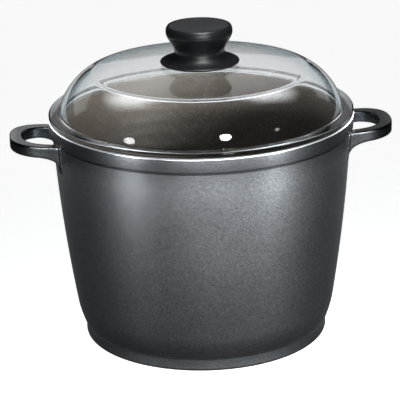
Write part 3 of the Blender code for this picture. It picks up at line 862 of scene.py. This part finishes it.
class STOCKPOT_OT_fixings(bpy.types.Operator):
    """Turn the insert, seals, washers and screw that hold the knob on the glass"""
    bl_idname = "stockpot.fixings"
    bl_label = "Knob fixings"

    def execute(self, context):
        self.seals()
        self.washers()
        self.insert()
        self.screw()
        return {"FINISHED"}

    def seals(self):
        for node, slot in (("seal_above", "upper_seal"), ("seal_below", "lower_seal")):
            low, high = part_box(node)
            hole, r = 4.0 * MM, high.x
            corners = [(hole, high.z, 0.2 * MM), (r, high.z, 0.4 * MM), (r, low.z, 0.4 * MM),
                       (hole, low.z, 0.2 * MM)]
            seal = turned(node + "_ring", rounded(corners), "lid", ["silicone"], 96,
                          closed=True)
            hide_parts(node)

    def washers(self):
        low, high, r = CUP_LOW.z, CUP_HIGH.z, CUP_HIGH.x
        hole, gauge = 2.9 * MM, 1.0 * MM
        corners = [(hole, low + gauge, 0.1 * MM), (r - gauge, low + gauge, 0.2 * MM),
                   (r - gauge, high, 0.1 * MM), (r, high, 0.3 * MM), (r, low, 0.9 * MM),
                   (hole, low, 0.2 * MM)]
        cup = turned("cup_washer_pressing", rounded(corners), "knob", ["steel"],
                     96, closed=True)
        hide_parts("cup_washer")
        low, high, r = SPRING_LOW.z, SPRING_HIGH.z, SPRING_HIGH.y
        rows = []
        split, steps, slack = math.radians(7.0), 64, 0.1 * MM
        for step in range(steps + 1):
            angle = split + (math.tau - 2 * split) * step / steps
            rise = (high - low) * 0.12 * (0.5 - step / steps)
            section = ((hole, low + slack), (r, low + slack), (r, high - slack),
                       (hole, high - slack))
            rows.append([(radius * math.cos(angle), radius * math.sin(angle), z + rise)
                         for radius, z in section])
        spring = settle("split_washer", skin(rows), "knob", ["steel"])
        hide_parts("spring_washer")

    def insert(self):
        low, high, r = INSERT_LOW.z, INSERT_HIGH.z, INSERT_HIGH.x
        bore, end = 2.8 * MM, high - 1.4 * MM
        edge, nose, neck = 0.1 * MM, r - 0.3 * MM, r - 1.0 * MM
        corners = [(0.0, high, 0.0), (nose, high, edge), (nose, high - 4.0 * MM, edge),
                   (neck, high - 4.4 * MM, edge), (neck, high - 6.0 * MM, edge),
                   (r, high - 6.4 * MM, edge), (r, low, 0.2 * MM), (bore + 0.5 * MM, low, edge),
                   (bore, low + 0.5 * MM, 0.0)]
        points = rounded(corners, 3)
        pitch = 0.8 * MM
        z = low + 0.8 * MM
        while z < end - pitch:
            points += [(bore, z), (bore + 0.25 * MM, z + pitch / 2)]
            z += pitch
        points += [(bore, end), (0.0, end)]
        insert = turned("brass_insert", points, "knob", ["brass"], 72)
        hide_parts("knob_insert")

    def screw(self):
        low, high = SCREW_LOW.z, SCREW_HIGH.z
        head_r, shank = SCREW_HIGH.x, 2.5 * MM
        head_high = low + 3.0 * MM
        points = [(0.0, high), (shank - 0.6 * MM, high)]
        pitch = 0.8 * MM
        z = high - 0.5 * MM
        while z > head_high + 1.5 * MM:
            points += [(shank, z), (shank - 0.36 * MM, z - pitch / 2)]
            z -= pitch
        dome = 2.1 * MM
        points += [(shank, head_high + 0.3 * MM), (shank, head_high),
                   (head_r - 0.2 * MM, head_high), (head_r, head_high - 0.2 * MM)]
        points += arc(0.0, low + dome, head_r, 0, -90, 12, dome)[:-1] + [(0.0, low)]
        screw = turned("slotted_screw", points, "knob", ["steel"], 72)
        slot = bmesh.new()
        bmesh.ops.create_cube(slot, size=1.0)
        bmesh.ops.scale(slot, vec=(0.02, 1.2 * MM, 2.8 * MM), verts=slot.verts)
        bmesh.ops.translate(slot, vec=(0, 0, low), verts=slot.verts)
        cutter = add_object("slot", mesh_from(slot, "slot"))
        cut = screw.modifiers.new("Slot", "BOOLEAN")
        cut.solver = "EXACT"
        cut.object = cutter
        done = evaluated_mesh(screw)
        screw.modifiers.clear()
        screw.data = done
        bpy.data.objects.remove(cutter, do_unlink=True)
        done.shade_smooth()
        done.set_sharp_from_angle(angle=math.radians(30))
        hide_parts("lid_screw")


# ---- the stage ----


WALL = ("pot", "steel_base_disc")
UNDER = ("seal_below_ring", "cup_washer_pressing", "split_washer", "slotted_screw")
RIGHT, LEFT = ("handle_right",), ("handle_left",)
GLASS = ("glass_lid",)
KNOB = ("knob", "cap_disc")
# name, azimuth in degrees from the front, distance, height, size, watts, pieces lit, and for
# some the shape and the height aimed at
LAMPS = (
    ("left_strip", -55, 1.2, 0.18, (0.24, 0.40), 26.0, WALL),
    ("right_box", 46, 1.3, 0.34, (0.18, 0.66), 86.0, WALL + UNDER),
    ("front_fill", 2, 1.4, 0.24, (1.5, 0.36), 92.0, WALL),
    ("back_right", 132, 1.4, 0.28, (0.7, 0.5), 40.0, WALL),
    ("back_left", -134, 1.4, 0.28, (0.6, 0.5), 24.0, WALL),
    ("back_fill", 180, 1.4, 0.24, (0.5, 0.36), 7.0, WALL),
    ("inner_lamp", 40, 1.1, 1.15, (0.4, 0.4), 2.0, WALL),
    ("rim_card", 180, 1.5, 0.80, (0.8, 0.5), 1.5, WALL, "RECTANGLE", 0.22),
    ("handle_box", -20, 1.2, 1.0, (0.8, 0.8), 16.0, RIGHT + LEFT),
    ("handle_front", 25, 1.6, 0.35, (0.9, 0.5), 25.0, RIGHT + LEFT),
    ("left_handle_card", -165, 1.5, 0.80, (1.2, 0.5), 1.9, LEFT),
    ("right_handle_card", 170, 1.5, 0.80, (1.2, 0.5), 0.6, RIGHT),
    ("left_handle_front", -30, 1.4, 0.35, (0.8, 0.4), 15.0, LEFT),
    ("back_card", 180, 1.4, 0.85, (4.0, 0.6), 3.0, GLASS, "RECTANGLE", 0.27),
    ("knob_front", 8, 1.4, 0.42, (0.7, 0.4), 9.0, KNOB),
    ("knob_box", 12, 0.9, 1.1, (0.35, 0.3), 6.0, KNOB + ("seal_above_ring",)),
    ("knob_top", 20, 0.25, 1.2, (0.4, 0.4), 9.0, KNOB + ("seal_above_ring",)),
    ("lamp", 15, 1.5, 1.14, (0.26, 0.26), 8.0, GLASS, "DISK", 0.24),
    ("left_glint", -63, 1.5, 0.72, (0.24, 0.03), 1.4, GLASS, "DISK", 0.24),
    ("right_glint", 60, 1.5, 0.95, (0.10, 0.05), 0.12, GLASS, "DISK", 0.24),
)


class STOCKPOT_OT_stage(bpy.types.Operator):
    """Lay the pale floor, hang the soft boxes and set the camera"""
    bl_idname = "stockpot.stage"
    bl_label = "Stage"

    def execute(self, context):
        self.floor()
        self.lights()
        self.surroundings()
        self.camera(context.scene.pot_stage)
        context.scene.view_settings.view_transform = "Standard"
        return {"FINISHED"}

    def floor(self):
        form = bmesh.new()
        bmesh.ops.create_circle(form, cap_ends=True, segments=96, radius=9.0)
        mesh = mesh_from(form, "floor")
        floor = add_object("floor", mesh)
        floor.location.z = -0.2 * MM
        mesh.materials.append(finish("floor"))
        floor.visible_glossy = False
        floor.visible_diffuse = False

    def light_only(self, lamp, pieces):
        """Let a lamp light the named pieces alone, so that the glass mirrors its own lamps."""
        lit = bpy.data.collections.new(lamp.name + "_lights_up")
        for piece in pieces:
            lit.objects.link(bpy.data.objects[piece])
        lamp.light_linking.receiver_collection = lit

    def soft_box(self, name, azimuth, distance, height, size, power, lights_up,
                 shape="RECTANGLE", aim_z=0.15):
        """Hang one lamp round the pot, facing it."""
        a = math.radians(azimuth)
        spot = Vector((math.sin(a) * distance, -math.cos(a) * distance, height))
        data = bpy.data.lights.new(name, "AREA")
        data.shape = shape
        data.size, data.size_y = size
        data.energy = power
        lamp = add_object(name, data)
        lamp.visible_camera = False
        lamp.location = spot
        ahead = Vector((0, 0, aim_z)) - spot
        lamp.rotation_euler = ahead.to_track_quat("-Z", "Y").to_euler()
        self.light_only(lamp, lights_up)

    def lights(self):
        for lamp in LAMPS:
            self.soft_box(*lamp)
        self.arch(GLASS)

    def arch(self, lights_up):
        """Hang a curved diffuser behind and above the pot, bright in its middle, for the glass."""
        reach, height, across, rows = 1.7, 0.26, 60, 18
        form = bmesh.new()
        grid = []
        for row in range(rows + 1):
            e = math.radians(28 + 42 * row / rows)
            line = []
            for column in range(across + 1):
                a = math.radians(100 + 160 * column / across)
                spot = (math.sin(a) * math.cos(e), -math.cos(a) * math.cos(e), math.sin(e))
                line.append(form.verts.new([reach * part for part in spot]))
            grid.append(line)
        for low, high in zip(grid, grid[1:]):
            for k in range(across):
                form.faces.new((low[k], low[k + 1], high[k + 1], high[k]))
        mesh = mesh_from(form, "arch")
        arch = add_object("arch", mesh)
        arch.location.z = height
        sheet = Sheet("arch_diffuser")
        place = sheet.place()
        up = sheet.apart(place, "Z") / reach
        back = sheet.apart(place, "Y") / reach / (1 - up * up) ** 0.5
        glow = up.ramp(0.57, 0.80) * up.ramp(0.84, 0.93, 1.0, 0.0) * back.ramp(0.10, 0.70)
        light = glow.blend((0, 0, 0), (0.95, 0.98, 1.0))
        mesh.materials.append(sheet.paint(Base_Color=(0, 0, 0), Roughness=1.0,
                                          Specular_IOR_Level=0.0, Emission_Color=light,
                                          Emission_Strength=5.0))
        arch.visible_camera = False
        arch.visible_shadow = False
        self.light_only(arch, lights_up)

    def surroundings(self):
        """White to the camera and through the glass, dim to what bounces off the pieces."""
        world = bpy.data.worlds.new("studio")
        bpy.context.scene.world = world
        world.use_nodes = True
        tree = world.node_tree
        back = tree.nodes["Background"]
        path = tree.nodes.new("ShaderNodeLightPath")
        bounces = tree.nodes.new("ShaderNodeMath")
        tree.links.new(path.outputs["Diffuse Depth"], bounces.inputs[0])
        tree.links.new(path.outputs["Glossy Depth"], bounces.inputs[1])
        level = tree.nodes.new("ShaderNodeMapRange")
        level.inputs["To Min"].default_value = 1.0
        level.inputs["To Max"].default_value = 0.022
        tree.links.new(bounces.outputs[0], level.inputs["Value"])
        tree.links.new(level.outputs[0], back.inputs["Strength"])
        back.inputs["Color"].default_value = (0.98, 0.99, 1.0, 1.0)

    def camera(self, s):
        eye = Vector((0.0, -s.distance, s.height))
        aim = Vector((s.aim_x, 0.0, s.aim_z))
        ahead = (aim - eye).normalized()
        right = ahead.cross(Vector((0, 0, 1))).normalized()
        up = right.cross(ahead)
        c, n = math.cos(s.roll), math.sin(s.roll)
        across, over = right * c + up * n, up * c - right * n
        pose = Matrix((across, over, -ahead)).transposed().to_4x4()
        pose.translation = eye
        data = bpy.data.cameras.new("camera")
        data.lens = s.lens
        data.sensor_width = 36.0
        data.clip_end = 50.0
        camera = add_object("camera", data)
        camera.matrix_world = Matrix.Rotation(s.turn, 4, "Z") @ pose
        bpy.context.scene.camera = camera


class STOCKPOT_PT_panel(bpy.types.Panel):
    bl_label = "Stockpot"
    bl_idname = "STOCKPOT_PT_panel"
    bl_space_type = "VIEW_3D"
    bl_region_type = "UI"
    bl_category = "Stockpot"

    def draw(self, context):
        for operator in OPERATORS:
            self.layout.operator(operator.bl_idname)
        for group in GROUPS:
            values = getattr(context.scene, group)
            for key in values.__annotations__:
                self.layout.prop(values, key)


GROUPS = {"pot_sizes": PotSizes, "pot_handles": HandleSizes, "pot_lid": LidSizes,
          "pot_knob": KnobSizes, "pot_colours": FinishColours, "pot_stage": StageSettings}
OPERATORS = (STOCKPOT_OT_pot, STOCKPOT_OT_handles, STOCKPOT_OT_base, STOCKPOT_OT_glass,
             STOCKPOT_OT_knob, STOCKPOT_OT_fixings, STOCKPOT_OT_stage)


def register():
    for kind in (*GROUPS.values(), *OPERATORS, STOCKPOT_PT_panel):
        bpy.utils.register_class(kind)
    for name, kind in GROUPS.items():
        setattr(bpy.types.Scene, name, PointerProperty(type=kind))


def unregister():
    for name in GROUPS:
        delattr(bpy.types.Scene, name)
    for kind in reversed((*GROUPS.values(), *OPERATORS, STOCKPOT_PT_panel)):
        bpy.utils.unregister_class(kind)


def main():
    register()
    for operator in OPERATORS:
        group, name = operator.bl_idname.split(".")
        getattr(getattr(bpy.ops, group), name)()


if __name__ == "__main__":
    main()
